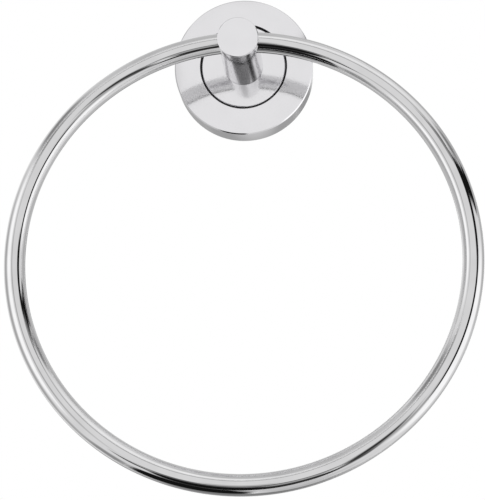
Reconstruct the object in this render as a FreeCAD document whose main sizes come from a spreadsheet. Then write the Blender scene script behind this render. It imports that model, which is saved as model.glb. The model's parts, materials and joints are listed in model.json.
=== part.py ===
import FreeCAD
import Part
import Sketcher
import os

# Towel ring: a bar bent to a hoop and clamped in the front of a round post,
# which stands on a foot disc in the middle of a round cover plate.
# The wall is the plane Y = 0, the object stands out towards -Y, and +Z is up.
# The origin is on the post's axis, in the plane of the wall. Lengths are in millimetres.

# Driving dimensions: name, value, meaning.
DIMENSIONS = (
    ("rod_dia", 8.0, "bar of the hoop"),
    ("hoop_outer_dia", 180.0, "hoop over its outside"),
    ("hoop_lean_angle", 7.0, "degrees that the foot of the hoop stands forward of plumb"),
    ("hoop_joint_gap", 1.0, "between the two ends of the bar, inside the post"),
    ("post_dia", 16.0, "post"),
    ("post_reach", 54.0, "front of the post from the wall"),
    ("post_front_round", 0.4, "edge of the post's front face"),
    ("hoop_setback", 8.0, "axis of the cross bore behind the front of the post"),
    ("bore_slip", 0.08, "round the bent bar in its straight bore"),
    ("spigot_dia", 10.0, "register on the back of the post"),
    ("spigot_length", 1.4, "register on the back of the post"),
    ("spigot_slip", 0.05, "round the register and below it"),
    ("thread_dia", 6.0, "thread along the axis of the post"),
    ("thread_slack", 0.05, "between a screw and its thread or seat"),
    ("screw_point_chamfer", 0.5, "on the point of the two inner screws"),
    ("clamp_screw_length", 8.0, "set screw that holds the bar"),
    ("clamp_screw_socket", 3.0, "across the flats"),
    ("clamp_screw_socket_depth", 3.0, "hexagon in its back end"),
    ("cover_dia", 57.0, "round cover plate"),
    ("cover_rim", 12.0, "height of the cover plate's side"),
    ("cover_wall", 1.4, "side of the cover plate"),
    ("cover_face", 2.4, "front of the cover plate"),
    ("cover_edge", 0.45, "chamfer between the side and the front"),
    ("cover_back_edge", 0.3, "chamfer inside the rim, at the wall"),
    ("crown_radius", 220.0, "slight dome that the polished faces share"),
    ("face_gap", 0.8, "between the foot disc and the cover plate"),
    ("foot_share", 0.6, "diameter of the foot disc, as a share of the cover plate's"),
    ("foot_setback", 0.25, "foot disc behind the dome of the cover plate"),
    ("foot_edge", 0.25, "chamfer round the foot disc"),
    ("foot_wall", 2.75, "side of the foot"),
    ("foot_web", 2.4, "front of the foot, behind the register"),
    ("foot_lift", 0.25, "rim of the foot off the wall bracket"),
    ("seat_depth", 0.6, "flat seat of the post below the dome of the foot"),
    ("seat_slip", 0.06, "round the post in its seat"),
    ("seal_groove_lip", 0.75, "foot disc in front of the seal's groove"),
    ("seal_groove_depth", 0.8, "groove in the side of the foot"),
    ("seal_slack", 0.02, "round the seal"),
    ("post_screw_length", 16.0, "under the head"),
    ("post_screw_head_dia", 10.5, "button head"),
    ("post_screw_head_height", 3.3, "button head"),
    ("post_screw_head_round", 1.8, "shoulder of the button head"),
    ("post_screw_socket", 4.0, "across the flats"),
    ("post_screw_socket_depth", 2.0, "hexagon in the button head"),
    ("post_screw_hole_slip", 0.3, "round the screw in the foot"),
    ("lock_washer_dia", 11.4, "split washer under the button head"),
    ("lock_washer_thickness", 1.5, "split washer"),
    ("lock_washer_split_angle", 14.0, "degrees that the washer's split takes"),
    ("washer_slip", 0.15, "round the screw in the washer"),
    ("bracket_thickness", 2.5, "plate on the wall"),
    ("bracket_clearance", 0.8, "between the bracket and the side of the cover plate"),
    ("bracket_edge", 0.4, "chamfer on the bracket's front edge"),
    ("boss_height", 5.8, "ring that carries the foot, above the bracket's plate"),
    ("boss_wall", 5.0, "ring that carries the foot"),
    ("boss_slip", 0.15, "between the ring and the foot"),
    ("lock_groove_rise", 3.0, "middle of the V groove above the bracket's plate"),
    ("lock_groove_depth", 0.6, "V groove round the ring"),
    ("lock_groove_floor", 1.8, "width of the V groove's floor"),
    ("lock_screw_dia", 4.0, "set screw that holds the foot on the bracket"),
    ("lock_screw_inset", 0.2, "end of the set screw inside the foot's side"),
    ("lock_screw_tip_dia", 1.5, "flat on its point"),
    ("lock_screw_socket", 2.0, "across the flats"),
    ("lock_screw_socket_depth", 1.4, "hexagon in its outer end"),
    ("slot_margin", 1.4, "bracket outside the two screw slots"),
    ("slot_length", 6.8, "screw slot, end to end"),
    ("slot_width", 4.6, "screw slot"),
)

FULL_TURN = 360
QUARTER_TURN = 90
SAME_PLACE = 0.01

# How a sketch's constraints name the three points of a curve, the two axes and the origin.
START, END, CENTRE = range(1, 4)
HORIZONTAL_AXIS, VERTICAL_AXIS = range(-1, -3, -1)
ORIGIN_POINT = (HORIZONTAL_AXIS, START)


def size(name):
    """The expression of one driving dimension."""
    return f"Sizes.{name}"


def half(name):
    """The expression of half of one driving dimension."""
    return f"(Sizes.{name} / 2)"


def dome_drop(radius):
    """How far the dome falls from its top at a distance from its axis."""
    return f"({size('crown_radius')} - sqrt({size('crown_radius')} ^ 2 - ({radius}) ^ 2))"


# Places that several pieces share, as expressions of the driving dimensions.
# DEPTH means a distance in front of the wall, so its Y is negative.
COVER_SHOULDER = f"({half('cover_dia')} - {size('cover_edge')})"
COVER_TOP_DEPTH = f"({size('cover_rim')} + {dome_drop(COVER_SHOULDER)})"
COVER_BORE = f"({half('cover_dia')} - {size('cover_wall')})"
FOOT_RADIUS = f"({half('cover_dia')} * {size('foot_share')})"
FACE_HOLE = f"({FOOT_RADIUS} + {size('face_gap')})"
FOOT_TOP_DEPTH = f"({COVER_TOP_DEPTH} - {size('foot_setback')})"
FOOT_SHOULDER = f"({FOOT_RADIUS} - {size('foot_edge')})"
SEAT_RADIUS = f"({half('post_dia')} + {size('seat_slip')})"
SEAT_DEPTH = f"({FOOT_TOP_DEPTH} - {size('seat_depth')})"
REGISTER_RADIUS = f"({half('spigot_dia')} + {size('spigot_slip')})"
REGISTER_DEPTH = f"({SEAT_DEPTH} - {size('spigot_length')} - {size('spigot_slip')})"
WEB_DEPTH = f"({REGISTER_DEPTH} - {size('foot_web')})"
FOOT_BACK_DEPTH = f"({size('bracket_thickness')} + {size('foot_lift')})"
FOOT_BORE = f"({FOOT_RADIUS} - {size('foot_wall')})"
FOOT_SCREW_HOLE = f"({half('thread_dia')} + {size('post_screw_hole_slip')})"
GROOVE_FRONT = f"({FOOT_TOP_DEPTH} - {dome_drop(FOOT_RADIUS)} - {size('seal_groove_lip')})"
SEAL_SPACE = f"({size('seal_groove_depth')} + {size('face_gap')})"
GROOVE_BACK = f"({GROOVE_FRONT} - {SEAL_SPACE})"
GROOVE_FLOOR = f"({FOOT_RADIUS} - {size('seal_groove_depth')})"
BORE_DEPTH = f"({size('post_reach')} - {size('hoop_setback')})"
HOOP_RADIUS = f"({half('hoop_outer_dia')} - {half('rod_dia')})"
BAR_SAG = f"({HOOP_RADIUS} - sqrt({HOOP_RADIUS} ^ 2 - {half('post_dia')} ^ 2))"
BORE_RADIUS = f"({half('rod_dia')} + {BAR_SAG} / 2 + {size('bore_slip')})"
HOOP_DROP = f"({HOOP_RADIUS} - {BAR_SAG} / 2)"
SCREW_RADIUS = f"({half('thread_dia')} - {size('thread_slack')})"
BOSS_RADIUS = f"({FOOT_BORE} - {size('boss_slip')})"
BOSS_BORE = f"({BOSS_RADIUS} - {size('boss_wall')})"
BOSS_DEPTH = f"({size('bracket_thickness')} + {size('boss_height')})"
BRACKET_RADIUS = f"({COVER_BORE} - {size('bracket_clearance')})"
LOCK_DEPTH = f"({size('bracket_thickness')} + {size('lock_groove_rise')})"
LOCK_FLOOR = f"({BOSS_RADIUS} - {size('lock_groove_depth')})"
HEAD_DEPTH = f"({WEB_DEPTH} - {size('lock_washer_thickness')})"

document = FreeCAD.newDocument("TowelRing")
sheet = document.addObject("Spreadsheet::Sheet", "Sizes")
for row, (alias, value, meaning) in enumerate(DIMENSIONS, start=1):
    sheet.set(f"A{row}", alias)
    sheet.set(f"B{row}", str(value))
    sheet.set(f"C{row}", meaning)
    sheet.setAlias(f"B{row}", alias)
document.recompute()


def number(expression):
    """The present value of an expression, for placing a sketch's geometry."""
    return float(sheet.evalExpression(expression))


def new_body(name):
    """An empty body whose label is the name of its piece."""
    body = document.addObject("PartDesign::Body", name)
    body.Label = name
    return body


def new_sketch(body, role, name):
    """An empty sketch on one of the body's own origin planes."""
    plane = next(item for item in body.Origin.OriginFeatures if item.Role == role)
    sketch = body.newObject("Sketcher::SketchObject", name)
    sketch.AttachmentSupport = [(plane, "")]
    sketch.MapMode = "FlatFace"
    return sketch


def bind(sketch, kind, point, expression):
    """Ties one coordinate of a sketch's point to an expression."""
    if expression == "0":
        axis = VERTICAL_AXIS if kind == "DistanceX" else HORIZONTAL_AXIS
        sketch.addConstraint(Sketcher.Constraint("PointOnObject", *point, axis))
        return
    tie = Sketcher.Constraint(kind, *ORIGIN_POINT, *point, number(expression))
    index = sketch.addConstraint(tie)
    sketch.setExpression(f"Constraints[{index}]", expression)


def bind_point(sketch, point, place):
    """Ties both coordinates of a sketch's point."""
    bind(sketch, "DistanceX", point, place[0])
    bind(sketch, "DistanceY", point, place[1])


def bind_radius(sketch, curve, expression):
    """Ties the radius of a circle or an arc."""
    index = sketch.addConstraint(Sketcher.Constraint("Radius", curve, number(expression)))
    sketch.setExpression(f"Constraints[{index}]", expression)


def place_vector(place):
    """A sketch point as a vector, from two expressions."""
    return FreeCAD.Vector(number(place[0]), number(place[1]), 0)


def arc_between(first, last, radius, bulge):
    """An arc through two points, which bulges to the side that the sign of bulge gives."""
    chord = last - first
    middle = first + chord * 0.5
    side = FreeCAD.Vector(-chord.y, chord.x, 0).normalize() * bulge
    rise = radius - (radius ** 2 - (chord.Length / 2) ** 2) ** 0.5
    turns_left = bulge < 0
    if turns_left:
        return Part.Arc(first, middle + side * rise, last)
    return Part.Arc(last, middle + side * rise, first)


def draw_outline(body, role, name, corners, arcs=None):
    """A closed outline through the corners. An arc is listed by its first corner: radius and bulge."""
    arcs = arcs or {}
    sketch = new_sketch(body, role, name)
    count = len(corners)
    joints = []
    for index in range(count):
        first = place_vector(corners[index])
        last = place_vector(corners[(index + 1) % count])
        if index in arcs:
            radius, bulge = arcs[index]
            curve = arc_between(first, last, number(radius), bulge)
            sketch.addGeometry(curve)
            drawn = sketch.Geometry[index]
            forward = drawn.StartPoint.distanceToPoint(first) < drawn.EndPoint.distanceToPoint(first)
            joints.append((START, END) if forward else (END, START))
        else:
            sketch.addGeometry(Part.LineSegment(first, last))
            joints.append((START, END))
    for index in range(count):
        following = (index + 1) % count
        meeting = Sketcher.Constraint(
            "Coincident", index, joints[index][1], following, joints[following][0]
        )
        sketch.addConstraint(meeting)
    for index in range(count):
        bind_point(sketch, (index, joints[index][0]), corners[index])
    for index, (radius, _) in arcs.items():
        bind_radius(sketch, index, radius)
    return sketch


def draw_circle(body, role, name, place, radius):
    """A circle at a place."""
    sketch = new_sketch(body, role, name)
    circle = Part.Circle(place_vector(place), FreeCAD.Vector(0, 0, 1), number(radius))
    sketch.addGeometry(circle)
    bind_point(sketch, (0, CENTRE), place)
    bind_radius(sketch, 0, radius)
    return sketch


def turn(body, sketch, name, angle=None):
    """Turns an outline round the horizontal axis of its sketch."""
    solid = body.newObject("PartDesign::Revolution", name)
    solid.Profile = sketch
    solid.ReferenceAxis = (sketch, ["H_Axis"])
    solid.Angle = FULL_TURN
    if angle is not None:
        solid.Midplane = True
        solid.setExpression("Angle", angle)
    return solid


def edges_where(feature, test):
    """The names of a feature's edges that pass a test."""
    edges = feature.Shape.Edges
    return [f"Edge{index}" for index, edge in enumerate(edges, start=1) if test(edge)]


def circle_at(depth, radius):
    """A test for a full circle round the post's axis, at a depth and a radius."""
    here = -number(depth)
    wide = number(radius)

    def test(edge):
        curve = edge.Curve
        if not isinstance(curve, Part.Circle):
            return False
        off_axis = abs(curve.Center.x) + abs(curve.Center.z)
        off_depth = abs(curve.Center.y - here)
        off_radius = abs(curve.Radius - wide)
        return max(off_axis, off_depth, off_radius) < SAME_PLACE

    return test


def dress(body, kind, name, base, edges, expression):
    """A fillet or a chamfer on named edges."""
    feature = body.newObject(f"PartDesign::{kind}", name)
    feature.Base = (base, edges)
    if kind == "Fillet":
        feature.setExpression("Radius", expression)
    else:
        feature.setExpression("Size", expression)
    return feature


def hexagon(flats):
    """The corners of a hexagon round the origin, with two flats level."""
    reach = f"({size(flats)} / sqrt(3))"
    low = f"({size(flats)} / 2)"
    return [
        (reach, "0"),
        (f"({reach} / 2)", low),
        (f"(-({reach}) / 2)", low),
        (f"(-({reach}))", "0"),
        (f"(-({reach}) / 2)", f"(-({low}))"),
        (f"({reach} / 2)", f"(-({low}))"),
    ]


def cut_pocket(body, sketch, name, length=None, both_ways=False, into_positive=False):
    """Cuts a sketch's outline out of the body, and stops if nothing was cut."""
    before = body.Tip.Shape.Volume
    pocket = body.newObject("PartDesign::Pocket", name)
    pocket.Profile = sketch
    if length is None:
        pocket.Type = "ThroughAll"
    else:
        pocket.setExpression("Length", length)
    pocket.Midplane = both_ways
    pocket.Reversed = into_positive
    document.recompute()
    if pocket.Shape.Volume >= before:
        raise RuntimeError(f"{name} cuts nothing")
    return pocket


# The hoop: one round bar, bent to a circle. Its two ends meet inside the post.
hoop = new_body("hoop")
hoop_section = draw_circle(hoop, "YZ_Plane", "HoopSection", ("0", f"(-{HOOP_RADIUS})"), half("rod_dia"))
JOINT_ANGLE = f"({size('hoop_joint_gap')} / {HOOP_RADIUS} * 180 / pi)"
turn(hoop, hoop_section, "HoopBar", f"{FULL_TURN} - {JOINT_ANGLE}")
hoop.Placement = FreeCAD.Placement(
    FreeCAD.Vector(0, 0, 0), FreeCAD.Rotation(FreeCAD.Vector(-1, 0, 0), number(size("hoop_lean_angle")))
)
hoop.setExpression("Placement.Rotation.Angle", size("hoop_lean_angle"))
hoop.setExpression(
    "Placement.Base.y", f"-{BORE_DEPTH} - {HOOP_DROP} * sin({size('hoop_lean_angle')})"
)
hoop.setExpression("Placement.Base.z", f"-{HOOP_DROP} * cos({size('hoop_lean_angle')})")

# The post: turned bar with a register at its back, a thread along its axis,
# and a cross bore for the hoop. The bore is straight and the bar is bent, so the
# bore is wider than the bar by the bend that lies inside the post.
post = new_body("post")
post_profile = draw_outline(
    post,
    "YZ_Plane",
    "PostProfile",
    [
        (f"(-{size('post_reach')})", "0"),
        (f"(-{size('post_reach')})", half("post_dia")),
        (f"(-{SEAT_DEPTH})", half("post_dia")),
        (f"(-{SEAT_DEPTH})", half("spigot_dia")),
        (f"(-({SEAT_DEPTH} - {size('spigot_length')}))", half("spigot_dia")),
        (f"(-({SEAT_DEPTH} - {size('spigot_length')}))", half("thread_dia")),
        (f"(-{BORE_DEPTH})", half("thread_dia")),
        (f"(-{BORE_DEPTH})", "0"),
    ],
)
post_turned = turn(post, post_profile, "PostTurned")
document.recompute()
front_edge = edges_where(post_turned, circle_at(size("post_reach"), half("post_dia")))
dress(post, "Fillet", "PostFront", post_turned, front_edge, size("post_front_round"))
document.recompute()
cross_bore = draw_circle(post, "YZ_Plane", "CrossBore", (f"(-{BORE_DEPTH})", "0"), BORE_RADIUS)
cut_pocket(post, cross_bore, "HoopBore", size("post_dia"), both_ways=True)

# The foot: a turned cup that slides over the bracket's ring. The post stands in a flat
# seat in its domed front, and a groove in its side holds the seal.
foot = new_body("foot")
foot_profile = draw_outline(
    foot,
    "YZ_Plane",
    "FootProfile",
    [
        (f"(-{REGISTER_DEPTH})", FOOT_SCREW_HOLE),
        (f"(-{REGISTER_DEPTH})", REGISTER_RADIUS),
        (f"(-{SEAT_DEPTH})", REGISTER_RADIUS),
        (f"(-{SEAT_DEPTH})", SEAT_RADIUS),
        (f"(-({FOOT_TOP_DEPTH} - {dome_drop(SEAT_RADIUS)}))", SEAT_RADIUS),
        (f"(-({FOOT_TOP_DEPTH} - {dome_drop(FOOT_SHOULDER)}))", FOOT_SHOULDER),
        (
            f"(-({FOOT_TOP_DEPTH} - {dome_drop(FOOT_SHOULDER)} - {size('foot_edge')}))",
            FOOT_RADIUS,
        ),
        (f"(-{GROOVE_FRONT})", FOOT_RADIUS),
        (f"(-{GROOVE_FRONT})", GROOVE_FLOOR),
        (f"(-{GROOVE_BACK})", GROOVE_FLOOR),
        (f"(-{GROOVE_BACK})", FOOT_RADIUS),
        (f"(-{FOOT_BACK_DEPTH})", FOOT_RADIUS),
        (f"(-{FOOT_BACK_DEPTH})", FOOT_BORE),
        (f"(-{WEB_DEPTH})", FOOT_BORE),
        (f"(-{WEB_DEPTH})", FOOT_SCREW_HOLE),
    ],
    arcs={4: (size("crown_radius"), 1)},
)
foot_turned = turn(foot, foot_profile, "FootTurned")
document.recompute()
lock_hole = draw_circle(
    foot, "XY_Plane", "LockHole", ("0", f"(-{LOCK_DEPTH})"), half("lock_screw_dia")
)
cut_pocket(foot, lock_hole, "LockThread", FOOT_RADIUS)

# The cover plate: a shallow turned cup with a domed front, open to the wall.
cover = new_body("cover_plate")
cover_profile = draw_outline(
    cover,
    "YZ_Plane",
    "CoverProfile",
    [
        ("0", half("cover_dia")),
        (f"(-({size('cover_rim')} - {size('cover_edge')}))", half("cover_dia")),
        (f"(-{size('cover_rim')})", COVER_SHOULDER),
        (f"(-({COVER_TOP_DEPTH} - {dome_drop(FACE_HOLE)}))", FACE_HOLE),
        (f"(-({COVER_TOP_DEPTH} - {dome_drop(FACE_HOLE)} - {size('cover_face')}))", FACE_HOLE),
        (f"(-({size('cover_rim')} - {size('cover_face')}))", COVER_BORE),
        (f"(-{size('cover_back_edge')})", COVER_BORE),
        ("0", f"({COVER_BORE} + {size('cover_back_edge')})"),
    ],
    arcs={2: (size("crown_radius"), -1)},
)
turn(cover, cover_profile, "CoverTurned")

# The seal: a black rubber ring that fills the gap round the foot and holds the cover plate.
seal = new_body("seal_ring")
seal_section = draw_circle(
    seal,
    "YZ_Plane",
    "SealSection",
    (f"(-({GROOVE_FRONT} + {GROOVE_BACK}) / 2)", f"({GROOVE_FLOOR} + {SEAL_SPACE} / 2)"),
    f"({SEAL_SPACE} / 2 - {size('seal_slack')})",
)
turn(seal, seal_section, "SealTurned")

# The wall bracket: a round plate with two screw slots, and a ring that carries the foot.
bracket = new_body("wall_bracket")
bracket_profile = draw_outline(
    bracket,
    "YZ_Plane",
    "BracketProfile",
    [
        ("0", BOSS_BORE),
        (f"(-{BOSS_DEPTH})", BOSS_BORE),
        (f"(-{BOSS_DEPTH})", f"({BOSS_RADIUS} - {size('bracket_edge')})"),
        (f"(-({BOSS_DEPTH} - {size('bracket_edge')}))", BOSS_RADIUS),
        (
            f"(-({LOCK_DEPTH} + {half('lock_groove_floor')} + {size('lock_groove_depth')}))",
            BOSS_RADIUS,
        ),
        (f"(-({LOCK_DEPTH} + {half('lock_groove_floor')}))", LOCK_FLOOR),
        (f"(-({LOCK_DEPTH} - {half('lock_groove_floor')}))", LOCK_FLOOR),
        (
            f"(-({LOCK_DEPTH} - {half('lock_groove_floor')} - {size('lock_groove_depth')}))",
            BOSS_RADIUS,
        ),
        (f"(-{size('bracket_thickness')})", BOSS_RADIUS),
        (f"(-{size('bracket_thickness')})", f"({BRACKET_RADIUS} - {size('bracket_edge')})"),
        (f"(-({size('bracket_thickness')} - {size('bracket_edge')}))", BRACKET_RADIUS),
        ("0", BRACKET_RADIUS),
    ],
)
turn(bracket, bracket_profile, "BracketTurned")
document.recompute()
SLOT_REACH = f"(({size('slot_length')} - {size('slot_width')}) / 2)"
SLOT_MIDDLE = f"({BRACKET_RADIUS} - {size('slot_margin')} - {half('slot_length')})"
slot = new_sketch(bracket, "XZ_Plane", "ScrewSlot")
slot_radius = number(half("slot_width"))
slot_ends = [number(f"{SLOT_MIDDLE} - {SLOT_REACH}"), number(f"{SLOT_MIDDLE} + {SLOT_REACH}")]
up = FreeCAD.Vector(0, slot_radius, 0)
left_end = FreeCAD.Vector(slot_ends[0], 0, 0)
right_end = FreeCAD.Vector(slot_ends[1], 0, 0)
across = FreeCAD.Vector(slot_radius, 0, 0)
slot.addGeometry(Part.Arc(left_end + up, left_end - across, left_end - up))
slot.addGeometry(Part.LineSegment(left_end - up, right_end - up))
slot.addGeometry(Part.Arc(right_end - up, right_end + across, right_end + up))
slot.addGeometry(Part.LineSegment(right_end + up, left_end + up))
for curve, following in ((0, 1), (1, 2), (2, 3), (3, 0)):
    slot.addConstraint(Sketcher.Constraint("Tangent", curve, END, following, START))
bind_point(slot, (0, CENTRE), (f"({SLOT_MIDDLE} - {SLOT_REACH})", "0"))
bind_point(slot, (2, CENTRE), (f"({SLOT_MIDDLE} + {SLOT_REACH})", "0"))
bind_radius(slot, 0, half("slot_width"))
slot_cut = cut_pocket(bracket, slot, "SlotCut", size("cover_rim"), both_ways=True)
slots = bracket.newObject("PartDesign::PolarPattern", "SlotPair")
slots.Originals = [slot_cut]
slots.Axis = (slot, ["N_Axis"])
slots.Angle = FULL_TURN
slots.Occurrences = 2
bracket.Tip = slots

# The clamp screw: a set screw along the post's axis, whose flat tip holds both ends of the bar.
clamp = new_body("clamp_screw")
CLAMP_TIP = f"({BORE_DEPTH} - {half('rod_dia')} - {size('thread_slack')})"
clamp_profile = draw_outline(
    clamp,
    "YZ_Plane",
    "ClampProfile",
    [
        (f"(-{CLAMP_TIP})", "0"),
        (f"(-{CLAMP_TIP})", f"({SCREW_RADIUS} - {size('screw_point_chamfer')})"),
        (f"(-({CLAMP_TIP} - {size('screw_point_chamfer')}))", SCREW_RADIUS),
        (f"(-({CLAMP_TIP} - {size('clamp_screw_length')}))", SCREW_RADIUS),
        (f"(-({CLAMP_TIP} - {size('clamp_screw_length')}))", "0"),
    ],
)
turn(clamp, clamp_profile, "ClampTurned")
document.recompute()
clamp_socket = draw_outline(clamp, "XZ_Plane", "ClampSocket", hexagon("clamp_screw_socket"))
clamp_socket.setExpression(
    "AttachmentOffset.Base.z", f"{CLAMP_TIP} - {size('clamp_screw_length')}"
)
document.recompute()
cut_pocket(
    clamp, clamp_socket, "ClampHexagon", size("clamp_screw_socket_depth"), into_positive=True
)

# The post screw: a button head inside the foot draws the post onto its seat.
post_screw = new_body("post_screw")
HEAD_RADIUS = half("post_screw_head_dia")
post_screw_profile = draw_outline(
    post_screw,
    "YZ_Plane",
    "PostScrewProfile",
    [
        (f"(-({HEAD_DEPTH} + {size('post_screw_length')}))", "0"),
        (
            f"(-({HEAD_DEPTH} + {size('post_screw_length')}))",
            f"({SCREW_RADIUS} - {size('screw_point_chamfer')})",
        ),
        (
            f"(-({HEAD_DEPTH} + {size('post_screw_length')} - {size('screw_point_chamfer')}))",
            SCREW_RADIUS,
        ),
        (f"(-{HEAD_DEPTH})", SCREW_RADIUS),
        (f"(-{HEAD_DEPTH})", HEAD_RADIUS),
        (f"(-({HEAD_DEPTH} - {size('post_screw_head_height')}))", HEAD_RADIUS),
        (f"(-({HEAD_DEPTH} - {size('post_screw_head_height')}))", "0"),
    ],
)
post_screw_turned = turn(post_screw, post_screw_profile, "PostScrewTurned")
document.recompute()
head_edge = edges_where(
    post_screw_turned,
    circle_at(f"({HEAD_DEPTH} - {size('post_screw_head_height')})", HEAD_RADIUS),
)
dress(
    post_screw, "Fillet", "ButtonHead", post_screw_turned, head_edge, size("post_screw_head_round")
)
document.recompute()
post_screw_socket = draw_outline(
    post_screw, "XZ_Plane", "PostScrewSocket", hexagon("post_screw_socket")
)
post_screw_socket.setExpression(
    "AttachmentOffset.Base.z", f"{HEAD_DEPTH} - {size('post_screw_head_height')}"
)
document.recompute()
cut_pocket(
    post_screw,
    post_screw_socket,
    "PostScrewHexagon",
    size("post_screw_socket_depth"),
    into_positive=True,
)

# The lock washer: a split ring of square wire, pressed flat under the button head.
washer = new_body("lock_washer")
WASHER_BORE = f"({half('thread_dia')} + {size('washer_slip')})"
washer_section = draw_outline(
    washer,
    "YZ_Plane",
    "WasherSection",
    [
        (f"(-{WEB_DEPTH})", WASHER_BORE),
        (f"(-{WEB_DEPTH})", half("lock_washer_dia")),
        (f"(-{HEAD_DEPTH})", half("lock_washer_dia")),
        (f"(-{HEAD_DEPTH})", WASHER_BORE),
    ],
)
turn(washer, washer_section, "WasherTurned", f"{FULL_TURN} - {size('lock_washer_split_angle')}")

# The lock screw: a cone-pointed set screw, up through the foot's side into the bracket's groove.
lock = new_body("lock_screw")
LOCK_OUTER = f"({FOOT_RADIUS} - {size('lock_screw_inset')})"
LOCK_RADIUS = f"({half('lock_screw_dia')} - {size('thread_slack')})"
LOCK_TIP_RADIUS = half("lock_screw_tip_dia")
LOCK_TIP = f"({LOCK_FLOOR} + {size('thread_slack')})"
lock_profile = draw_outline(
    lock,
    "XZ_Plane",
    "LockProfile",
    [
        (f"(-{LOCK_OUTER})", "0"),
        (f"(-{LOCK_OUTER})", LOCK_RADIUS),
        (f"(-({LOCK_TIP} + {LOCK_RADIUS} - {LOCK_TIP_RADIUS}))", LOCK_RADIUS),
        (f"(-{LOCK_TIP})", LOCK_TIP_RADIUS),
        (f"(-{LOCK_TIP})", "0"),
    ],
)
turn(lock, lock_profile, "LockTurned")
document.recompute()
lock_socket = draw_outline(lock, "YZ_Plane", "LockSocket", hexagon("lock_screw_socket"))
lock_socket.setExpression("AttachmentOffset.Base.z", f"-{LOCK_OUTER}")
document.recompute()
cut_pocket(lock, lock_socket, "LockHexagon", size("lock_screw_socket_depth"), into_positive=True)
# The screw is drawn lying along X, and this turns it to point up below the post's axis.
lock.Placement = FreeCAD.Placement(
    FreeCAD.Vector(0, 0, 0), FreeCAD.Rotation(FreeCAD.Vector(0, -1, 0), QUARTER_TURN)
)
lock.setExpression("Placement.Base.y", f"-{LOCK_DEPTH}")

document.recompute()

PIECES = (hoop, post, foot, cover, seal, bracket, clamp, post_screw, washer, lock)

failed = [item.Name for item in document.Objects if {"Invalid", "Error"} & set(item.State)]
if failed:
    raise RuntimeError(f"these objects failed: {failed}")
for piece in PIECES:
    if piece.Shape.isNull() or not piece.Shape.isValid():
        raise RuntimeError(f"{piece.Label} has no valid shape")

os.makedirs("parts", exist_ok=True)
for piece in PIECES:
    piece.Shape.exportStep(os.path.join("parts", f"{piece.Label}.step"))
    corner = piece.Shape.optimalBoundingBox(False, False)
    print(
        f"{piece.Label}: {len(piece.Shape.Solids)} solid, {piece.Shape.Volume:.1f} mm3,"
        f" X {corner.XMin:.2f} to {corner.XMax:.2f},"
        f" Y {corner.YMin:.2f} to {corner.YMax:.2f},"
        f" Z {corner.ZMin:.2f} to {corner.ZMax:.2f}"
    )
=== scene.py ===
# %% [markdown]
# # A chrome towel ring
# The ring is a bent bar in a short post on a round plate, all of it polished and chromed. Nothing
# on it is soft and nothing moves, so the work is in exact surfaces and in what they mirror. The
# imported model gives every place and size, and this script builds the finished pieces around it.

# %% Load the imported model
import json
import math

import bmesh
import bpy
from mathutils import Matrix, Vector

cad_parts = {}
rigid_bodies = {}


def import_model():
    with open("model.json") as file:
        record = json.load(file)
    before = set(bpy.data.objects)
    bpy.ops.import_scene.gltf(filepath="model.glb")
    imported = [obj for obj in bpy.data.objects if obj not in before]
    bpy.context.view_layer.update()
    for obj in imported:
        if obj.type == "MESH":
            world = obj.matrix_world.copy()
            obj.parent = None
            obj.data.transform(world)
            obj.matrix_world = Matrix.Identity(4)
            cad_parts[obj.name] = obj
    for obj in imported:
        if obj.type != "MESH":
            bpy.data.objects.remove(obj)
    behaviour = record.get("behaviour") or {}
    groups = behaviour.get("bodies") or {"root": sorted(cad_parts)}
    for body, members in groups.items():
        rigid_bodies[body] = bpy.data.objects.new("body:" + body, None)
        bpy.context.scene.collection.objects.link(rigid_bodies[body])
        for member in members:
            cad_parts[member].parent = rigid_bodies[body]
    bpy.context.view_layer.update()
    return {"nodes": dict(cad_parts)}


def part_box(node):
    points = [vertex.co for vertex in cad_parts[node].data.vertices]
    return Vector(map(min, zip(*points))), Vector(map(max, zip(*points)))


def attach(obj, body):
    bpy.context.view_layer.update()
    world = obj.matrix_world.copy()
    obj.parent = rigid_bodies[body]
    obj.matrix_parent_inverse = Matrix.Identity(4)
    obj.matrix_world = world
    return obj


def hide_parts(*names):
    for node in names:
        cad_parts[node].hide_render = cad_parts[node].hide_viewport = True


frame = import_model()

print("nodes in the frame:", ", ".join(sorted(frame["nodes"])))

# %% [markdown]
# Lengths here are written in millimetres, as on a drawing, and turned to metres where a vertex is
# made. A depth is a distance in front of the wall, and the wall is the plane Y = 0. The frame's
# own boxes give the main sizes, so a change of the model carries through to this script.

# %% Sizes from the frame
MM = 0.001


def extent(node):
    """The lowest and highest corner of a node of the frame, in millimetres."""
    low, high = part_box(node)
    return low / MM, high / MM


hoop_low, hoop_high = extent("hoop")
post_low, post_high = extent("post")
cover_low, cover_high = extent("cover_plate")
foot_high = extent("foot")[1]
lock_low, lock_high = extent("lock_screw")

POST_RADIUS = post_high.x
POST_FRONT = -post_low.y
FOOT_RADIUS = foot_high.x
COVER_RADIUS = cover_high.x
BAR_RADIUS = 4.0
HOOP_RADIUS = hoop_high.x - BAR_RADIUS
HOOP_LEAN = math.radians(7)
HOOP_CENTRE = (hoop_low + hoop_high) / 2
BORE_BEHIND_FRONT = 8.0
BORE_DEPTH = POST_FRONT - BORE_BEHIND_FRONT
print(f"radii in mm: hoop {HOOP_RADIUS:.1f}, post {POST_RADIUS:.1f}, cover plate {COVER_RADIUS:.1f}")

# %% [markdown]
# ## Turned surfaces
# The post, the foot and the cover plate come off a lathe. Their section could be spun with a Screw
# modifier, but a mirror finish shows every small error of a shaded normal. So the section is kept
# as runs, each a straight line or an arc that knows its own exact normal, and each corner of each
# face gets that normal. A flat then stays flat right up to its edge.

# %% Runs of a section
ROUND_STEPS = 6


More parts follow.
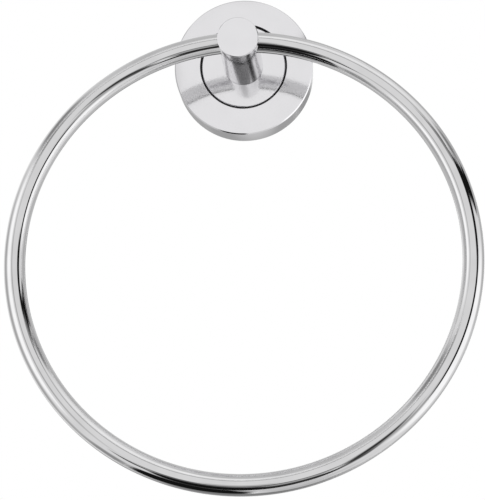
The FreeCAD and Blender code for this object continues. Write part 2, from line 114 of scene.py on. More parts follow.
def straight(start, end):
    """A straight run of a section, from one (depth, radius) to another."""
    along = (end[0] - start[0], end[1] - start[1])
    length = math.hypot(*along)
    normal = (along[1] / length, -along[0] / length)
    return {"points": [start, end], "normal": lambda depth, radius: normal}


def arc(centre, start, end, steps):
    """A run that follows a circle round a centre, with its normals away from the centre."""
    begin = math.atan2(start[1] - centre[1], start[0] - centre[0])
    turn = math.atan2(end[1] - centre[1], end[0] - centre[0]) - begin
    turn = (turn + math.pi) % math.tau - math.pi
    reach = math.hypot(start[0] - centre[0], start[1] - centre[1])
    points = []
    for step in range(steps + 1):
        angle = begin + turn * step / steps
        points.append((centre[0] + reach * math.cos(angle), centre[1] + reach * math.sin(angle)))
    points[0], points[-1] = start, end

    def normal(depth, radius):
        away = (depth - centre[0], radius - centre[1])
        size = math.hypot(*away)
        return (away[0] / size, away[1] / size)

    return {"points": points, "normal": normal}


def section(corners):
    """The runs through corners of (depth, radius, rounding). Only outer corners are rounded."""
    count = len(corners)
    entries = []
    exits = []
    arcs = []
    for index, (depth, radius, rounding) in enumerate(corners):
        here = Vector((depth, radius))
        before = Vector(corners[index - 1][:2])
        after = Vector(corners[(index + 1) % count][:2])
        if rounding == 0:
            entries.append(tuple(here))
            exits.append(tuple(here))
            arcs.append(None)
            continue
        back = (before - here).normalized()
        ahead = (after - here).normalized()
        half_angle = back.angle(ahead) / 2
        trim = rounding / math.tan(half_angle)
        centre = here + (back + ahead).normalized() * rounding / math.sin(half_angle)
        entry = tuple(here + back * trim)
        leave = tuple(here + ahead * trim)
        entries.append(entry)
        exits.append(leave)
        arcs.append(arc(tuple(centre), entry, leave, ROUND_STEPS))
    runs = []
    for index in range(count):
        if arcs[index]:
            runs.append(arcs[index])
        following = (index + 1) % count
        if corners[index][1] == 0 and corners[following][1] == 0:
            continue
        runs.append(straight(exits[index], entries[following]))
    return runs


# %% [markdown]
# A lathe function turns the runs into a mesh. Points on the axis become one vertex with a fan of
# triangles round it, the rest become rings of four-sided faces. Every face remembers the run that
# it belongs to, because the normals are set later.

# %% Lathe
AROUND = 192
ON_AXIS = 1e-4
scene = bpy.context.scene


def lathe(name, runs, around=AROUND):
    """A turned piece on the post's axis, from the runs of its section."""
    mesh = bpy.data.meshes.new(name)
    work = bmesh.new()
    band = work.faces.layers.int.new("run")
    rings = {}

    def ring(point):
        key = (round(point[0], 5), round(point[1], 5))
        if key not in rings:
            depth, radius = point
            if radius < ON_AXIS:
                rings[key] = [work.verts.new((0, -depth * MM, 0))]
            else:
                rings[key] = [
                    work.verts.new(
                        (
                            radius * MM * math.sin(math.tau * step / around),
                            -depth * MM,
                            radius * MM * math.cos(math.tau * step / around),
                        )
                    )
                    for step in range(around)
                ]
        return rings[key]

    for number, run in enumerate(runs, start=1):
        for start, end in zip(run["points"], run["points"][1:]):
            first, last = ring(start), ring(end)
            for step in range(around):
                after = (step + 1) % around
                if len(first) == 1:
                    corners = (first[0], last[after], last[step])
                elif len(last) == 1:
                    corners = (first[step], first[after], last[0])
                else:
                    corners = (first[step], first[after], last[after], last[step])
                work.faces.new(corners)[band] = number
    work.to_mesh(mesh)
    work.free()
    piece = bpy.data.objects.new(name, mesh)
    scene.collection.objects.link(piece)
    return piece


print("rings of", AROUND, "points round the axis")

# %% [markdown]
# Smooth shading alone would blend the normals over every edge. Here each corner of a face takes
# the exact normal of its own run instead, which also works after something was cut out of the
# piece. The faces of such a cut belong to no run and take theirs from a function.

# %% Exact normals
def exact_normals(piece, runs, others=None):
    """Gives each face corner the normal of its own run. Faces of a cut take theirs from others."""
    mesh = piece.data
    mesh.shade_smooth()
    band = mesh.attributes["run"].data
    normals = []
    for face in mesh.polygons:
        number = band[face.index].value
        for index in face.loop_indices:
            place = mesh.vertices[mesh.loops[index].vertex_index].co / MM
            if number == 0:
                found = others(place) if others else face.normal
                normals.append(found if found.dot(face.normal) > 0 else -found)
                continue
            radius = math.hypot(place.x, place.z)
            if radius < ON_AXIS:
                normals.append(face.normal.copy())
                continue
            depth_part, radius_part = runs[number - 1]["normal"](-place.y, radius)
            normals.append(
                Vector(
                    (radius_part * place.x / radius, -depth_part, radius_part * place.z / radius)
                )
            )
    mesh.normals_split_custom_set([tuple(normal) for normal in normals])
    mesh.attributes.remove(mesh.attributes["run"])
    print(f"{piece.name}: {len(normals)} exact normals")


# %% [markdown]
# ## Finishes
# Chrome is a clear mirror over polished metal. What tells it from a flat grey is small: faint
# lines that the polishing wheel left, soft patches where it pressed less, and a very slight
# waviness of the plating. Each of these is a shader node group with named inputs, so all the
# chromed pieces share them with their own amounts.

# %% Node helpers
def new_group(name, inputs):
    """A node group from named numbers to a mask, and its input and output nodes."""
    group = bpy.data.node_groups.new(name, "ShaderNodeTree")
    for label, default in inputs.items():
        socket = group.interface.new_socket(label, in_out="INPUT", socket_type="NodeSocketFloat")
        socket.default_value = default
    group.interface.new_socket("Mask", in_out="OUTPUT", socket_type="NodeSocketFloat")
    return group, group.nodes.new("NodeGroupInput"), group.nodes.new("NodeGroupOutput")


def add(tree, kind, **settings):
    """A node with its settings. A setting of the form in_NAME sets an input socket."""
    node = tree.nodes.new(kind)
    for key, value in settings.items():
        if key.startswith("in_"):
            node.inputs[key[3:]].default_value = value
        else:
            setattr(node, key, value)
    return node


def math_node(tree, operation, first, second=None):
    """A Math node fed by sockets or numbers."""
    node = add(tree, "ShaderNodeMath", operation=operation)
    for index, value in enumerate((first, second)):
        if value is None:
            continue
        if isinstance(value, (int, float)):
            node.inputs[index].default_value = value
        else:
            tree.links.new(value, node.inputs[index])
    return node.outputs[0]


# %% [markdown]
# Polishing lines follow the way a piece was turned against the wheel. An image could hold them, but
# a noise that is stretched along the lines never repeats and needs no map. On a turned piece they
# run round its axis, so the noise varies quickly with the distance from the axis and slowly with
# the angle round it.

# %% Lines round an axis
def round_axis(group):
    """Of a place on a piece: its Y, its distance from the Y axis and its angle round it."""
    place = add(group, "ShaderNodeTexCoord")
    parts = add(group, "ShaderNodeSeparateXYZ")
    group.links.new(place.outputs["Object"], parts.inputs[0])
    square_x = math_node(group, "MULTIPLY", parts.outputs["X"], parts.outputs["X"])
    square_z = math_node(group, "MULTIPLY", parts.outputs["Z"], parts.outputs["Z"])
    radius = math_node(group, "SQRT", math_node(group, "ADD", square_x, square_z))
    angle = math_node(group, "ARCTAN2", parts.outputs["X"], parts.outputs["Z"])
    return parts.outputs["Y"], radius, angle


def line_noise(group, across, along, mask):
    """Feeds a mask with noise that is quick across the lines and slow along them."""
    joined = add(group, "ShaderNodeCombineXYZ")
    group.links.new(across, joined.inputs["X"])
    group.links.new(along, joined.inputs["Y"])
    noise = add(group, "ShaderNodeTexNoise", in_Scale=1.0, in_Detail=5.0, in_Roughness=0.6)
    group.links.new(joined.outputs[0], noise.inputs["Vector"])
    group.links.new(noise.outputs["Fac"], mask)


def build_turned_lines():
    """Fine lines round the axis of a turned piece."""
    group, entry, leave = new_group("turned_lines", {"Lines per mm": 6.0, "Wander": 0.4})
    depth, radius, angle = round_axis(group)
    across = math_node(group, "DIVIDE", math_node(group, "ADD", radius, depth), MM)
    across = math_node(group, "MULTIPLY", across, entry.outputs["Lines per mm"])
    along = math_node(group, "MULTIPLY", angle, entry.outputs["Wander"])
    line_noise(group, across, along, leave.inputs["Mask"])
    return group


turned_lines = build_turned_lines()
print("node group:", turned_lines.name)

# %% [markdown]
# The bar was drawn through a die and then buffed lengthwise, so its lines run along it. They take
# the same noise, but across is now the angle round the bar, and along is the angle round the hoop.

# %% Lines along the bar
def build_drawn_lines():
    """Fine lines along a bar that is bent round its own Y axis."""
    group, entry, leave = new_group(
        "drawn_lines", {"Bend radius mm": 86.0, "Lines round the bar": 14.0, "Wander": 6.0}
    )
    depth, radius, angle = round_axis(group)
    bend = math_node(group, "MULTIPLY", entry.outputs["Bend radius mm"], MM)
    round_bar = math_node(group, "ARCTAN2", math_node(group, "SUBTRACT", radius, bend), depth)
    across = math_node(group, "MULTIPLY", round_bar, entry.outputs["Lines round the bar"])
    along = math_node(group, "MULTIPLY", angle, entry.outputs["Wander"])
    line_noise(group, across, along, leave.inputs["Mask"])
    return group


drawn_lines = build_drawn_lines()
print("node group:", drawn_lines.name)

# %% [markdown]
# Soft patches stand for uneven pressure of the wheel, and at other sizes for dust, grain and the
# skin of a casting. They are plain noise with its contrast raised round the middle.

# %% Soft patches
def build_patches():
    """Soft patches, as from uneven pressure, dust or casting."""
    group, entry, leave = new_group("soft_patches", {"Size mm": 12.0, "Contrast": 1.5})
    place = add(group, "ShaderNodeTexCoord")
    noise = add(group, "ShaderNodeTexNoise", in_Detail=3.0, in_Roughness=0.5)
    group.links.new(place.outputs["Object"], noise.inputs["Vector"])
    size_m = math_node(group, "MULTIPLY", entry.outputs["Size mm"], MM)
    group.links.new(math_node(group, "DIVIDE", 1.0, size_m), noise.inputs["Scale"])
    centred = math_node(group, "SUBTRACT", noise.outputs["Fac"], 0.5)
    spread = math_node(group, "MULTIPLY", centred, entry.outputs["Contrast"])
    shifted = math_node(group, "ADD", spread, 0.5)
    clamp = add(group, "ShaderNodeClamp")
    group.links.new(shifted, clamp.inputs["Value"])
    group.links.new(clamp.outputs[0], leave.inputs["Mask"])
    return group


soft_patches = build_patches()
print("node group:", soft_patches.name)

# %% [markdown]
# Every finish here has the same three parts: two tones that a mask blends, a roughness that a mask
# moves within its limits, and a bump. One helper each keeps the materials short.

# %% Parts of a finish
def new_material(name):
    """A material with a Principled shader, and that shader."""
    material = bpy.data.materials.new(name)
    material.use_nodes = True
    return material, material.node_tree, material.node_tree.nodes["Principled BSDF"]


def place_group(tree, group, **values):
    """One use of a node group, with its own values."""
    node = add(tree, "ShaderNodeGroup", node_tree=group)
    for key, value in values.items():
        node.inputs[key.replace("_", " ")].default_value = value
    return node.outputs[0]


def mix_tones(tree, mask, tones, socket):
    """Feeds a socket with two colours that a mask blends."""
    tone = add(tree, "ShaderNodeMix", data_type="RGBA")
    tone.inputs["A"].default_value, tone.inputs["B"].default_value = tones
    tree.links.new(mask, tone.inputs["Factor"])
    tree.links.new(tone.outputs["Result"], socket)


def move_within(tree, mask, limits, socket):
    """Feeds a socket with a value that a mask moves within its limits."""
    moved = add(tree, "ShaderNodeMapRange")
    moved.inputs["To Min"].default_value, moved.inputs["To Max"].default_value = limits
    tree.links.new(mask, moved.inputs["Value"])
    tree.links.new(moved.outputs["Result"], socket)


def raise_surface(tree, height, strength, depth_mm, socket):
    """Feeds a Normal socket with a bump of a height mask."""
    bump = add(tree, "ShaderNodeBump", in_Strength=strength, in_Distance=depth_mm * MM)
    tree.links.new(height, bump.inputs["Height"])
    tree.links.new(bump.outputs["Normal"], socket)


# %% [markdown]
# The chrome itself is a metal with a light, faintly cool colour. Roughness stays near a mirror and
# rises a little along the lines and in the patches, and a very weak bump carries the waviness. The
# plate and the post are a little brighter and softer than the bar.

# %% Chrome
PLATE_TONES = ((0.764, 0.758, 0.774, 1), (0.735, 0.730, 0.744, 1))
BAR_TONES = ((0.680, 0.678, 0.684, 1), (0.610, 0.608, 0.613, 1))
CLEAR_MIRROR = (0.03, 0.07)
SOFT_MIRROR = (0.09, 0.14)
LINES_IN_WAVE = 0.1


def chrome(name, lines, wave_mm, tones, roughness):
    """Polished chrome with the lines of one kind of piece, and a range of tone and roughness."""
    material, tree, shader = new_material(name)
    patches = place_group(tree, soft_patches, Size_mm=9.0, Contrast=1.6)
    line_mask = place_group(tree, lines)
    worn = math_node(tree, "MULTIPLY", line_mask, patches)
    blend = math_node(tree, "ADD", math_node(tree, "MULTIPLY", patches, 0.5), worn)
    mix_tones(tree, blend, tones, shader.inputs["Base Color"])
    shader.inputs["Metallic"].default_value = 1.0
    move_within(tree, worn, roughness, shader.inputs["Roughness"])
    wave = place_group(tree, soft_patches, Size_mm=wave_mm, Contrast=1.0)
    height = math_node(tree, "ADD", math_node(tree, "MULTIPLY", line_mask, LINES_IN_WAVE), wave)
    raise_surface(tree, height, strength=0.02, depth_mm=0.1, socket=shader.inputs["Normal"])
    return material


turned_chrome = chrome(
    "turned_chrome", turned_lines, wave_mm=7.0, tones=PLATE_TONES, roughness=SOFT_MIRROR
)
drawn_chrome = chrome(
    "drawn_chrome", drawn_lines, wave_mm=8.0, tones=BAR_TONES, roughness=CLEAR_MIRROR
)
print("chrome finishes:", turned_chrome.name, drawn_chrome.name)

# %% [markdown]
# The seal is black rubber with a fine moulded grain and a trace of dust. Its black is also painted
# shade: it keeps the narrow gap round the foot dark. The bracket is a zinc casting, dull and
# slightly mottled. The screws and the split washer are plated steel. All three are built from the
# same patches at other sizes.

# %% Rubber, zinc and steel
GRAINS_IN_PATCH = 12


def mottled(name, light, dark, roughness, grain_mm, grain_depth, metallic=0.0, lines=None):
    """A finish with a mottled colour, a varied roughness and a fine grain."""
    material, tree, shader = new_material(name)
    large = place_group(tree, soft_patches, Size_mm=grain_mm * GRAINS_IN_PATCH, Contrast=2.0)
    fine = place_group(tree, soft_patches, Size_mm=grain_mm, Contrast=2.0)
    blend = math_node(tree, "MULTIPLY", math_node(tree, "ADD", large, fine), 0.5)
    mix_tones(tree, blend, ((*light, 1), (*dark, 1)), shader.inputs["Base Color"])
    shader.inputs["Metallic"].default_value = metallic
    move_within(tree, large, roughness, shader.inputs["Roughness"])
    height = fine
    if lines:
        height = math_node(tree, "ADD", fine, place_group(tree, lines))
    raise_surface(tree, height, strength=0.6, depth_mm=grain_depth, socket=shader.inputs["Normal"])
    return material


# Black rubber, and also painted shade: the seal keeps the gap between the cover plate and the foot
# dark.
rubber_and_gap_shade = mottled(
    "black_rubber_and_gap_shade",
    light=(0.018, 0.018, 0.019),
    dark=(0.008, 0.008, 0.009),
    roughness=(0.5, 0.7),
    grain_mm=0.15,
    grain_depth=0.02,
)
zinc = mottled(
    "cast_zinc",
    light=(0.62, 0.63, 0.64),
    dark=(0.46, 0.47, 0.49),
    roughness=(0.38, 0.55),
    grain_mm=0.5,
    grain_depth=0.03,
    metallic=0.9,
)
steel = mottled(
    "plated_steel",
    light=(0.60, 0.61, 0.62),
    dark=(0.48, 0.49, 0.51),
    roughness=(0.22, 0.38),
    grain_mm=0.3,
    grain_depth=0.008,
    metallic=1.0,
    lines=turned_lines,
)
print("dull finishes:", rubber_and_gap_shade.name, zinc.name, steel.name)

# %% [markdown]
# ## The hoop
# One round bar, bent to a circle and cut where the post hides it. A torus primitive would close on
# itself, so the bar is swept here: rings of points round the circle, with a small rounded edge at
# each cut end.

# %% Rings of the bar
HOOP_STEPS = 600
BAR_STEPS = 80
JOINT_GAP = 1.0
END_ROUND = 0.4


def hoop_stations():
    """The angle from the top and the lost thickness of each ring of the bar, from end to end."""
    first = JOINT_GAP / 2 / HOOP_RADIUS
    opening = []
    for step in range(ROUND_STEPS + 1):
        turn = math.pi / 2 * step / ROUND_STEPS
        angle = first + END_ROUND * (1 - math.cos(turn)) / HOOP_RADIUS
        opening.append((angle, END_ROUND * (1 - math.sin(turn))))
    closing = [(math.tau - angle, lost) for angle, lost in reversed(opening)]
    start, stop = opening[-1][0], closing[0][0]
    body = [(start + (stop - start) * step / HOOP_STEPS, 0) for step in range(1, HOOP_STEPS)]
    return opening + body + closing


def bar_ring(work, angle, lost):
    """One ring of points round the bar, at an angle from the top."""
    outward = Vector((math.sin(angle), 0, math.cos(angle)))
    forward = Vector((0, -1, 0))
    ring = []
    for step in range(BAR_STEPS):
        turn = math.tau * step / BAR_STEPS
        reach = outward * math.cos(turn) + forward * math.sin(turn)
        ring.append(work.verts.new((outward * HOOP_RADIUS + reach * (BAR_RADIUS - lost)) * MM))
    return ring


stations = hoop_stations()
print("rings of the bar:", len(stations))

# %% [markdown]
# The rings are joined by four-sided faces and closed at both ends. The object's own origin is the
# middle of the hoop, which the drawn lines need, and the lean is its rotation. A finished piece
# rides on the fixed body and takes the place of its node.

# %% Hoop
SHARP_ANGLE = math.radians(40)


def build_hoop():
    """The bent bar with its two ends inside the post."""
    work = bmesh.new()
    made = [bar_ring(work, angle, lost) for angle, lost in stations]
    for first, last in zip(made, made[1:]):
        for step in range(BAR_STEPS):
            after = (step + 1) % BAR_STEPS
            work.faces.new((first[step], first[after], last[after], last[step]))
    work.faces.new(made[0])
    work.faces.new(made[-1])
    bmesh.ops.recalc_face_normals(work, faces=work.faces)
    mesh = bpy.data.meshes.new("hoop_bar")
    work.to_mesh(mesh)
    work.free()
    piece = bpy.data.objects.new("hoop_bar", mesh)
    scene.collection.objects.link(piece)
    mesh.shade_smooth()
    mesh.set_sharp_from_angle(angle=SHARP_ANGLE)
    piece.location = HOOP_CENTRE * MM
    piece.rotation_euler = (-HOOP_LEAN, 0, 0)
    return piece


def finish_piece(piece, node, material):
    """Puts a finished piece in place of its node: body, material slot and material."""
    piece.data.materials.clear()
    piece.data.materials.append(material)
    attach(piece, "root")
    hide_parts(node)
    print(f"{piece.name}: {len(piece.data.polygons)} faces, stands for {node}")


finish_piece(build_hoop(), "hoop", drawn_chrome)

# %% [markdown]
# ## The post
# A turned bar with a small round on its front edge, a cross bore for the hoop, a thread along its
# axis and a register at its back. The bore could be left out, since the hoop fills it, but its
# mouth shows as a fine line beside the bar. It is cut out with a Boolean and a plain round rod.

# %% Cutting
def rod(name, radius, start, end, steps):
    """A plain round cutter between two points."""
    axis = end - start
    facing = axis.to_track_quat("Z", "Y").to_matrix().to_4x4()
    work = bmesh.new()
    bmesh.ops.create_cone(
        work,
        cap_ends=True,
        segments=steps,
        radius1=radius * MM,
        radius2=radius * MM,
        depth=axis.length * MM,
        matrix=Matrix.Translation((start + end) / 2 * MM) @ facing,
    )
    mesh = bpy.data.meshes.new(name)
    work.to_mesh(mesh)
    work.free()
    piece = bpy.data.objects.new(name, mesh)
    scene.collection.objects.link(piece)
    return piece


def cut(piece, cutter):
    """Takes one mesh out of another."""
    boolean = piece.modifiers.new("cut", "BOOLEAN")
    boolean.operation = "DIFFERENCE"
    boolean.solver = "EXACT"
    boolean.object = cutter
    apply_modifiers(piece)
    bpy.data.objects.remove(cutter)


def apply_modifiers(piece):
    """Replaces a piece's mesh by the result of its modifiers."""
    bpy.context.view_layer.update()
    graph = bpy.context.evaluated_depsgraph_get()
    result = bpy.data.meshes.new_from_object(piece.evaluated_get(graph), depsgraph=graph)
    piece.modifiers.clear()
    piece.data = result


# %% [markdown]
# The straight bore has to let a bent bar through, so it is wider than the bar by half the bar's
# sag across the post. The mouth of the bore keeps the exact normals of the turned side, and its
# wall takes those of its own axis.

# %% Post
EDGE_ROUND = 0.4
FINE_EDGE = 0.12
SPIGOT_RADIUS = 5.0
SPIGOT_LENGTH = 1.4
THREAD_RADIUS = 3.0
SEAT_DEPTH = -post_high.y + SPIGOT_LENGTH
BORE_SAG = HOOP_RADIUS - math.sqrt(HOOP_RADIUS ** 2 - POST_RADIUS ** 2)
BORE_CLEARANCE = 0.08
BORE_RADIUS = BAR_RADIUS + BORE_SAG / 2 + BORE_CLEARANCE
BORE_STEPS = 128


def bore_normal(place):
    """The direction away from the cross bore's axis."""
    return Vector((0, place.y + BORE_DEPTH, place.z)).normalized()


post_runs = section(
    [
        (POST_FRONT, 0, 0),
        (POST_FRONT, POST_RADIUS, EDGE_ROUND),
        (SEAT_DEPTH, POST_RADIUS, FINE_EDGE),
        (SEAT_DEPTH, SPIGOT_RADIUS, 0),
        (SEAT_DEPTH - SPIGOT_LENGTH, SPIGOT_RADIUS, FINE_EDGE),
        (SEAT_DEPTH - SPIGOT_LENGTH, THREAD_RADIUS, 0),
        (BORE_DEPTH, THREAD_RADIUS, 0),
        (BORE_DEPTH, 0, 0),
    ]
)
post = lathe("post_bar", post_runs)
past_post = Vector((POST_RADIUS * 1.5, 0, 0))
bore_centre = Vector((0, -BORE_DEPTH, 0))
cut(post, rod("bore", BORE_RADIUS, bore_centre - past_post, bore_centre + past_post, BORE_STEPS))
exact_normals(post, post_runs, bore_normal)
finish_piece(post, "post", turned_chrome)

# %% [markdown]
# ## The cover plate and the foot
# Both have a very slightly domed front, which is what bends the mirror image of the hoop in them.
# The dome is one sphere that the two pieces share, so it is written once, as the depth of the
# sphere at a distance from the axis. A section gets it in place of a straight run.

# %% Dome
CROWN_RADIUS = 220.0
CROWN_STEPS = 14


def crown_depth(radius, top):
    """The depth of the dome at a distance from its axis."""
    return top - CROWN_RADIUS + math.sqrt(CROWN_RADIUS ** 2 - radius ** 2)


def crown(top, inner, outer):
    """The run of a dome, from its inner to its outer edge."""
    centre = (top - CROWN_RADIUS, 0)
    start = (crown_depth(inner, top), inner)
    end = (crown_depth(outer, top), outer)
    return arc(centre, start, end, CROWN_STEPS)


def with_crown(runs, edge, crown_run):
    """Puts the dome in place of the straight run between its two ends."""
    start, end = crown_run["points"][0], crown_run["points"][-1]
    result = []
    for run in runs:
        near_start = math.dist(run["points"][0], start) < edge
        near_end = math.dist(run["points"][-1], end) < edge
        result.append(crown_run if near_start and near_end else run)
    return result


def close_gaps(runs):
    """Moves the ends of straight runs onto the runs before and after them."""
    for index, run in enumerate(runs):
        following = runs[(index + 1) % len(runs)]
        if run["points"][-1] != following["points"][0]:
            if len(following["points"]) == 2:
                following["points"][0] = run["points"][-1]
            else:
                run["points"][-1] = following["points"][0]
    return runs


print(f"dome: {-crown_depth(COVER_RADIUS, 0):.2f} mm lower at the plate's edge than in the middle")

# %% [markdown]
# The cover plate is a shallow cup with a round hole for the foot. Its rim ends at a fixed depth,
# so the top of the dome follows from the rim.

# %% Cover plate
COVER_EDGE = 0.45
COVER_WALL = 1.4
COVER_FACE = 2.4
COVER_BACK_EDGE = 0.3
COVER_AROUND = 256
FACE_GAP = 0.8
RIM_DEPTH = 12.0
SHOULDER = COVER_RADIUS - COVER_EDGE
COVER_TOP = RIM_DEPTH - crown_depth(SHOULDER, 0)
HOLE_RADIUS = FOOT_RADIUS + FACE_GAP
COVER_BORE = COVER_RADIUS - COVER_WALL

hole_front = crown_depth(HOLE_RADIUS, COVER_TOP)
cover_runs = close_gaps(
    with_crown(
        section(
            [
                (hole_front, HOLE_RADIUS, FINE_EDGE),
                (RIM_DEPTH, SHOULDER, 0),
                (RIM_DEPTH - COVER_EDGE, COVER_RADIUS, FINE_EDGE),
                (0, COVER_RADIUS, 0),
                (0, COVER_BORE + COVER_BACK_EDGE, 0),
                (COVER_BACK_EDGE, COVER_BORE, 0),
                (RIM_DEPTH - COVER_FACE, COVER_BORE, 0),
                (hole_front - COVER_FACE, HOLE_RADIUS, 0),
            ]
        ),
        FINE_EDGE * 2,
        crown(COVER_TOP, HOLE_RADIUS + FINE_EDGE, SHOULDER),
    )
)
cover = lathe("cover_dish", cover_runs, COVER_AROUND)
exact_normals(cover, cover_runs)
finish_piece(cover, "cover_plate", turned_chrome)

# %% [markdown]
# The foot is a deeper cup. Its front is the disc round the post, with a flat seat turned into the
# dome, and a groove in its side for the seal. What fits into it sets its sizes: the post, the
# post's register, the screw and the lock screw.

# %% Sizes of the foot
FOOT_SINK = 0.25
FOOT_EDGE = 0.25
FOOT_WALL = 2.75
FOOT_WEB = 2.4
SEAT_CLEARANCE = 0.06
REGISTER_CLEARANCE = 0.05
SCREW_CLEARANCE = 0.3
GROOVE_LIP = 0.75
GROOVE_WIDTH = 1.6
GROOVE_DEPTH = 0.8
LOCK_HOLE_RADIUS = 2.0
LOCK_HOLE_STEPS = 48
OVERCUT = 1.0

FOOT_TOP = COVER_TOP - FOOT_SINK
FOOT_BACK = -foot_high.y
FOOT_BORE = FOOT_RADIUS - FOOT_WALL
SEAT_RADIUS = POST_RADIUS + SEAT_CLEARANCE
SCREW_HOLE = THREAD_RADIUS + SCREW_CLEARANCE
REGISTER_RADIUS = SPIGOT_RADIUS + REGISTER_CLEARANCE
REGISTER_DEPTH = SEAT_DEPTH - SPIGOT_LENGTH - REGISTER_CLEARANCE
WEB_DEPTH = REGISTER_DEPTH - FOOT_WEB
GROOVE_FRONT = crown_depth(FOOT_RADIUS, FOOT_TOP) - GROOVE_LIP
GROOVE_BACK = GROOVE_FRONT - GROOVE_WIDTH
print(f"foot: {FOOT_TOP - FOOT_BACK:.2f} mm deep, groove {GROOVE_FRONT:.2f} mm in front of the wall")

# %% [markdown]
# The section goes from the seat over the dome and the groove to the back, and up the inside. The
# lock screw's hole is cut through the underside.

# %% Foot
foot_shoulder = FOOT_RADIUS - FOOT_EDGE
shoulder_depth = crown_depth(foot_shoulder, FOOT_TOP)

foot_runs = close_gaps(
    with_crown(
        section(
            [
                (crown_depth(SEAT_RADIUS, FOOT_TOP), SEAT_RADIUS, 0),
                (shoulder_depth, foot_shoulder, 0),
                (shoulder_depth - FOOT_EDGE, FOOT_RADIUS, 0),
                (GROOVE_FRONT, FOOT_RADIUS, 0),
                (GROOVE_FRONT, FOOT_RADIUS - GROOVE_DEPTH, 0),
                (GROOVE_BACK, FOOT_RADIUS - GROOVE_DEPTH, 0),
                (GROOVE_BACK, FOOT_RADIUS, 0),
                (FOOT_BACK, FOOT_RADIUS, FINE_EDGE),
                (FOOT_BACK, FOOT_BORE, 0),
                (WEB_DEPTH, FOOT_BORE, 0),
                (WEB_DEPTH, SCREW_HOLE, 0),
                (REGISTER_DEPTH, SCREW_HOLE, 0),
                (REGISTER_DEPTH, REGISTER_RADIUS, 0),
                (SEAT_DEPTH, REGISTER_RADIUS, 0),
                (SEAT_DEPTH, SEAT_RADIUS, 0),
            ]
        ),
        FINE_EDGE,
        crown(FOOT_TOP, SEAT_RADIUS, foot_shoulder),
    )
)
foot = lathe("foot_cup", foot_runs)
lock_depth = -(lock_low.y + lock_high.y) / 2
lock_start = Vector((0, -lock_depth, OVERCUT - FOOT_BORE))
lock_end = Vector((0, -lock_depth, -FOOT_RADIUS - OVERCUT))
cut(foot, rod("lock_hole", LOCK_HOLE_RADIUS, lock_start, lock_end, LOCK_HOLE_STEPS))
exact_normals(foot, foot_runs)
finish_piece(foot, "foot", turned_chrome)

# %% [markdown]
# ## Pieces that stay as the frame has them
# The seal, the bracket and the hidden fasteners could be built again here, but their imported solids
# already have every edge that shows. They keep those and get their finishes.

# %% Finishes on the frame's own nodes
kept_finishes = {
    # The seal's black is partly painted shade in the gap round the foot.
    "seal_ring": rubber_and_gap_shade,
    "wall_bracket": zinc,
    "clamp_screw": steel,
    "post_screw": steel,
    "lock_washer": steel,
    "lock_screw": steel,
}
for node, material in kept_finishes.items():
    for slot in frame["nodes"][node].material_slots:
        slot.material = material
print("kept as packed:", ", ".join(kept_finishes))

# %% [markdown]
# ## Studio
# The part is shown in a white room. One world colour would do for that, but as a light it would
# wash out the floor's shadow. So the world is plain white to the camera and to the mirror surfaces,
# and gives the rest a weaker light.

# %% World
WORLD_LIGHT = 0.7


def build_world():
    """White for the camera and in reflections, a plain soft light elsewhere."""
    world = bpy.data.worlds.new("studio")
    scene.world = world
    world.use_nodes = True
    tree = world.node_tree
    tree.nodes.clear()
    path = add(tree, "ShaderNodeLightPath")
    seen = math_node(tree, "MAXIMUM", path.outputs["Is Camera Ray"], path.outputs["Is Glossy Ray"])
    seen = math_node(tree, "MAXIMUM", seen, path.outputs["Is Transmission Ray"])
    soft = add(tree, "ShaderNodeBackground", in_Strength=WORLD_LIGHT)
    white = add(tree, "ShaderNodeBackground", in_Strength=1.0)
    for background in (soft, white):
        background.inputs["Color"].default_value = (1, 1, 1, 1)
    mix = add(tree, "ShaderNodeMixShader")
    out = add(tree, "ShaderNodeOutputWorld")
    tree.links.new(seen, mix.inputs["Fac"])
    tree.links.new(soft.outputs[0], mix.inputs[1])
    tree.links.new(white.outputs[0], mix.inputs[2])
    tree.links.new(mix.outputs[0], out.inputs["Surface"])


build_world()
print("world:", scene.world.name)

# %% [markdown]
# A pale floor lies well below the hoop and holds its soft shadow. A square floor would end in a
# hard line in the views from above, so this one is round and fades out towards its edge.

# %% Floor
FLOOR_DROP = 600.0
FLOOR_RADIUS = 3000.0
FLOOR_STEPS = 96
FLOOR_SOLID = 0.2
FLOOR_GONE = 0.9


def build_floor():
    """A round pale floor that fades out between two shares of its radius."""
    mesh = bpy.data.meshes.new("floor")
    turns = [math.tau * step / FLOOR_STEPS for step in range(FLOOR_STEPS)]
    rim = [(math.cos(turn), math.sin(turn), 0) for turn in turns]
    mesh.from_pydata(rim, [], [range(FLOOR_STEPS)])
    material = mottled(
        "pale_floor",
        light=(0.9, 0.9, 0.9),
        dark=(0.86, 0.86, 0.86),
        roughness=(0.6, 0.8),
        grain_mm=4.0,
        grain_depth=0.05,
    )
    tree = material.node_tree
    place = add(tree, "ShaderNodeTexCoord")
    distance = add(tree, "ShaderNodeVectorMath", operation="LENGTH")
    tree.links.new(place.outputs["Object"], distance.inputs[0])
    fade = add(tree, "ShaderNodeMapRange", interpolation_type="SMOOTHSTEP")
    fade.inputs["From Min"].default_value = FLOOR_GONE
    fade.inputs["From Max"].default_value = FLOOR_SOLID
    tree.links.new(distance.outputs["Value"], fade.inputs["Value"])
    tree.links.new(fade.outputs["Result"], tree.nodes["Principled BSDF"].inputs["Alpha"])
    mesh.materials.append(material)
    floor = bpy.data.objects.new("floor", mesh)
    scene.collection.objects.link(floor)
    floor.location = (0, 0, (hoop_low.z - FLOOR_DROP) * MM)
    floor.scale = (FLOOR_RADIUS * MM, FLOOR_RADIUS * MM, 1)
    floor.visible_glossy = False


build_floor()
print("floor:", FLOOR_DROP, "mm below the hoop")

# %% [markdown]
# One large soft lamp hangs high on the left and in front. It lights the floor and the dull pieces.
# Mirrors don't show it, because the cards below take its place there.

# %% Lamp
LAMP_PLACE = Vector((-500.0, -800.0, 1200.0))
LAMP_WIDTH = 1200.0
LAMP_HEIGHT = 800.0
LAMP_WATTS = 12

